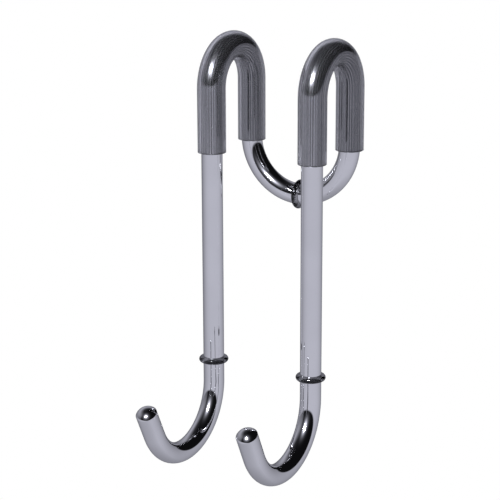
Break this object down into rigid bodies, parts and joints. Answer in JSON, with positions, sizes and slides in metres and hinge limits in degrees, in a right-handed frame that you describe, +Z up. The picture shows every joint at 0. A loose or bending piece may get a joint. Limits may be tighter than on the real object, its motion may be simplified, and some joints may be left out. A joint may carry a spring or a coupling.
{
  "type": "over-door double hook",
  "caption": "Two J hooks on one bent chrome bar that loops over the top edge of a glass door, with soft clear tubes on the loops and soft rings on the bar.",
  "frame": {"origin": "midway between the two loops, where the middle of the door's top edge meets the undersides of the sleeves", "axes": "+Z up, +X along the door's edge to the right as the hooks are faced, +Y through the door from the hooks to the bow"},
  "size_m": [0.0405, 0.064, 0.1195],
  "materials": {
    "chrome_bar": "polished chrome plate on steel",
    "smoke_tube": "glossy, clear smoke-grey soft PVC with fine lengthwise lines",
    "smoke_ring": "glossy, clear smoke-grey elastomer"
  },
  "bodies": {
    "hook": {"hook_rod": "chrome_bar", "loop_sleeve_left": "smoke_tube", "loop_sleeve_right": "smoke_tube"},
    "ring_left": {"bumper_ring_left": "smoke_ring"},
    "ring_right": {"bumper_ring_right": "smoke_ring"},
    "ring_rear": {"bumper_ring_rear": "smoke_ring"}
  },
  "joints": [
    {"name": "ring_left_slide", "type": "slide", "parent": "hook", "child": "ring_left", "axis": [0, 0, 1], "range_m": [-0.005, 0.059]},
    {"name": "ring_right_slide", "type": "slide", "parent": "hook", "child": "ring_right", "axis": [0, 0, 1], "range_m": [-0.005, 0.059]},
    {"name": "ring_rear_slide", "type": "hinge", "parent": "hook", "child": "ring_rear", "pos_m": [0, 0.011, -0.0235], "axis": [0, 1, 0], "range_deg": [-74, 74]}
  ]
}
